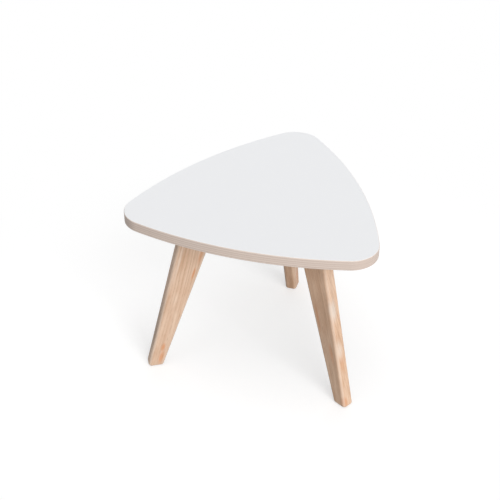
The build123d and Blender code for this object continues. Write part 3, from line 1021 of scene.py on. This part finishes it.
make_fasteners(screw, socketed, four_places(add), zinc, "plate_screws")

# %% [markdown]
# ## Wood screws
# Two countersunk screws go down through each plate into the end of the leg. The same rod, with a
# coarser thread and a long point, is joined to a cone with a thin rim. Two crossed bars cut the
# recess for the driver, deepest in the middle. It is made pointing up and then turned over, which
# keeps the thread right-handed, as a mirror would not.

# %% Wood screws
SUNK = 0.2 * MM
PLATE_MARGIN = 10 * MM  # of the plate, past each end of the leg's top
LEG_TOP_WIDTH = plate_high.y - plate_low.y - 2 * PLATE_MARGIN

wood_screw, add = new_tree("countersunk_screws", {
    "Length": 50 * MM, "Head Radius": 5.05 * MM, "Head Rim": 0.2 * MM, "Head Height": 2.5 * MM,
    "Shank Radius": 1.85 * MM, "Recess Length": 5.4 * MM, "Recess Width": 1.1 * MM,
    "Recess Depth": 2 * MM, "First Place": -0.1 * LEG_TOP_WIDTH, "Spacing": 0.4 * LEG_TOP_WIDTH,
    "Turn": 0.0, "Height": BOARD_BOTTOM - SUNK, "Seed": 0,
})
shaft = add("Group", {
    "Length": "Length", "Shank Length": "Head Height", "Shank Radius": "Shank Radius",
    "Root Radius": "Shank Radius", "Crest Radius": 2.75 * MM, "Pitch": 2.6 * MM, "Fade": 2 * MM,
    "Tip Length": 6 * MM, "Columns": 24, "Rings": 230,
}, node_tree=rod)
half_rim = add("Math", ("Head Rim", 0.5), "MULTIPLY")
rim = lifted(add, "MeshCylinder", {
    "Vertices": 48, "Radius": "Head Radius", "Depth": "Head Rim",
}, half_rim)
cone_height = add("Math", ("Head Height", "Head Rim"), "SUBTRACT")
cone = lifted(add, "MeshCone", {
    "Vertices": 48, "Radius Top": "Shank Radius", "Radius Bottom": "Head Radius",
    "Depth": cone_height,
}, "Head Rim")
twice_depth = add("Math", ("Recess Depth", 2), "MULTIPLY")
bars = []
for sides in (("Recess Length", "Recess Width"), ("Recess Width", "Recess Length")):
    bars.append(add("MeshCube", {"Size": (*sides, twice_depth)}))
solid = add("MeshBoolean", {"Mesh": [shaft, rim, cone]}, "UNION", solver="EXACT")
recessed = add("MeshBoolean", {"Mesh 1": solid, "Mesh 2": bars}, "DIFFERENCE", solver="EXACT")
pointing_down = add("Transform", {"Geometry": recessed, "Rotation": (math.pi, 0, 0)})
two_places = add("MeshLine", {
    "Count": 2, "Start Location": ("First Place", 0, 0), "Offset": ("Spacing", 0, 0),
})
make_fasteners(wood_screw, pointing_down, two_places, zinc, "leg_wood_screws")

# %% [markdown]
# ## Threaded inserts
# A brass insert has a coarse thread outside, which bites into the plywood, and a bore for the M6
# screw. It is the rod once more, short and thick, with the bore and a bevelled mouth taken out.

# %% Threaded inserts
insert, add = new_tree("threaded_inserts", {
    "Length": 13 * MM, "Bore Radius": 3.1 * MM, "Mouth Bevel": 0.4 * MM, **SPACINGS,
    "Turn": 0.0, "Height": BOARD_BOTTOM, "Seed": 0,
})
body = add("Group", {
    "Length": "Length", "Shank Length": 0.0, "Root Radius": 4.2 * MM, "Crest Radius": 5 * MM,
    "Pitch": 2.6 * MM, "Fade": 1.2 * MM, "Tip Length": 0.5 * MM, "Columns": 36, "Rings": 84,
}, node_tree=rod)
bore_length = add("Math", ("Length", 3), "MULTIPLY")
bore = add("MeshCylinder", {"Vertices": 36, "Radius": "Bore Radius", "Depth": bore_length})
mouth_reach = add("Math", ("Mouth Bevel", 2, "Bore Radius"), "MULTIPLY_ADD")
mouth_depth = add("Math", ("Mouth Bevel", 2), "MULTIPLY")
mouth_drop = add("Math", ("Mouth Bevel", -1), "MULTIPLY")
mouth = lifted(add, "MeshCone", {
    "Vertices": 36, "Radius Top": "Bore Radius", "Radius Bottom": mouth_reach,
    "Depth": mouth_depth,
}, mouth_drop)
bored = add("MeshBoolean", {"Mesh 1": body, "Mesh 2": [bore, mouth]}, "DIFFERENCE", solver="EXACT")
make_fasteners(insert, bored, four_places(add), brass, "plate_inserts")
